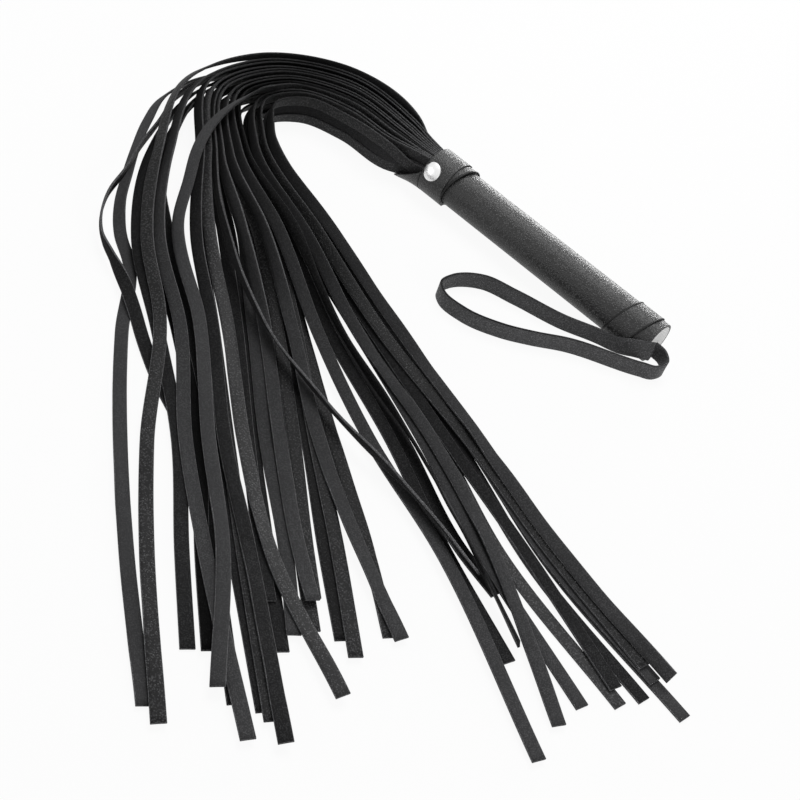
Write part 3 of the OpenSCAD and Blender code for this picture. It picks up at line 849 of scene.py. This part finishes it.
def collar_tongue():
    """The collar band's slanting front end, which runs out under the tails on the near side."""
    bpy.ops.object.select_all(action="DESELECT")
    bpy.ops.mesh.primitive_grid_add(x_subdivisions=18, y_subdivisions=22, size=2)
    tongue = start_shape("collar_tongue")
    mesh = bmesh.from_edit_mesh(tongue.data)
    for vert in mesh.verts:
        out = (vert.co.x + 1) / 2
        across = (vert.co.y + 1) / 2
        high = TONGUE_TOP + (TONGUE_TIP - TONGUE_TOP) * out**TOP_CURVE
        low = TONGUE_BOTTOM + (TONGUE_TIP - TONGUE_BOTTOM) * out**BOTTOM_CURVE
        turn = math.radians(low + (high - low) * across)
        radius = COLLAR_R + TONGUE_FLARE * out**2
        vert.co = Vector((X_FRONT - TONGUE_LEN * out, -radius * math.cos(turn),
                          AXIS_Z + radius * math.sin(turn))) * MM
    bmesh.update_edit_mesh(tongue.data)
    bpy.ops.mesh.remove_doubles(threshold=SAME_POINT)
    end_shape(tongue, BAND)
    thickness = tongue.modifiers.new("thickness", "SOLIDIFY")
    thickness.thickness = BAND_T * MM
    thickness.offset = -1
    bpy.ops.object.modifier_apply(modifier=thickness.name)


domed_cap()
turned_edge("wrap_front_edge", x=53.5, leaning=WRAP_LEAN, radius=11.5, thick=0.8, lowest=0.2)
turned_edge("wrap_rear_edge", x=66.7, leaning=WRAP_LEAN, radius=11.4, thick=0.8, lowest=4.4)
turned_edge("collar_rear_edge", x=-57.4, leaning=COLLAR_LEAN, radius=12.1, thick=0.9, lowest=2)
collar_tongue()

# ---- the ground and the light ----

# how white the ground and the room look, and how strongly the room lights the whip
GROUND_WHITE = 0.93
ROOM_WHITE = 1.0
ROOM_LIGHT = 0.2


def seen_or_mirrored(tree):
    """1 for what the camera or a shiny surface sees, and 0 for light that falls on things."""
    ray = tree.nodes.new("ShaderNodeLightPath")
    return worked_out(
        tree, "MAXIMUM", ray.outputs["Is Camera Ray"], ray.outputs["Is Glossy Ray"])


def mix_shaders(tree, share, first, second, output):
    """Puts a mix of two shaders on the output."""
    mix = tree.nodes.new("ShaderNodeMixShader")
    tree.links.new(share, mix.inputs["Fac"])
    tree.links.new(first, mix.inputs[1])
    tree.links.new(second, mix.inputs[2])
    tree.links.new(mix.outputs["Shader"], output.inputs["Surface"])


def ground_finish():
    """Pale ground that shows nearly white and keeps a soft shadow."""
    material, tree, shader = new_finish("pale ground")
    shader.inputs["Base Color"].default_value = (0.9, 0.9, 0.9, 1)
    shader.inputs["Roughness"].default_value = 1.0
    shader.inputs["Specular IOR Level"].default_value = 0.0
    glow = tree.nodes.new("ShaderNodeEmission")
    glow.inputs["Color"].default_value = (1, 1, 1, 1)
    glow.inputs["Strength"].default_value = 1.0
    share = worked_out(tree, "MULTIPLY", seen_or_mirrored(tree), GROUND_WHITE)
    output = next(node for node in tree.nodes if node.type == "OUTPUT_MATERIAL")
    mix_shaders(tree, share, shader.outputs["BSDF"], glow.outputs["Emission"], output)
    return material


def white_room():
    """A world that looks white and lights the whip only a little."""
    world = bpy.data.worlds.new("studio")
    bpy.context.scene.world = world
    world.use_nodes = True
    tree = world.node_tree
    tree.nodes.clear()
    output = tree.nodes.new("ShaderNodeOutputWorld")
    rooms = []
    for strength in (ROOM_LIGHT, ROOM_WHITE):
        room = tree.nodes.new("ShaderNodeBackground")
        room.inputs["Color"].default_value = (1, 1, 1, 1)
        room.inputs["Strength"].default_value = strength
        rooms.append(room.outputs["Background"])
    mix_shaders(tree, seen_or_mirrored(tree), *rooms, output)


def soft_lamp(name, place, target, size, power):
    """A square softbox at a place, turned to face its target."""
    bpy.ops.object.select_all(action="DESELECT")
    bpy.ops.object.light_add(type="AREA", location=place)
    lamp = bpy.context.object
    lamp.name = name
    lamp.data.shape = "SQUARE"
    lamp.data.size = size
    lamp.data.energy = power
    aim = Vector(target) - Vector(place)
    lamp.rotation_euler = aim.to_track_quat("-Z", "Y").to_euler()


bpy.ops.object.select_all(action="DESELECT")
bpy.ops.mesh.primitive_plane_add(size=6, location=(0, 0, -0.0002))
ground = bpy.context.object
ground.name = "ground"
ground.data.materials.append(ground_finish())

soft_lamp("overhead softbox", place=(-0.3, 0.35, 1.1), target=(0, -0.1, 0), size=0.7, power=9)
soft_lamp("far softbox", place=(-0.42, 1.2, 0.14), target=(0, -0.05, 0), size=0.45, power=11)
soft_lamp("right softbox", place=(1.2, -0.2, 0.45), target=(0, -0.1, 0), size=0.6, power=5)
soft_lamp("near softbox", place=(-0.9, -0.9, 0.25), target=(-0.05, -0.1, 0), size=0.6, power=3)
white_room()

bpy.context.scene.view_settings.view_transform = "Standard"
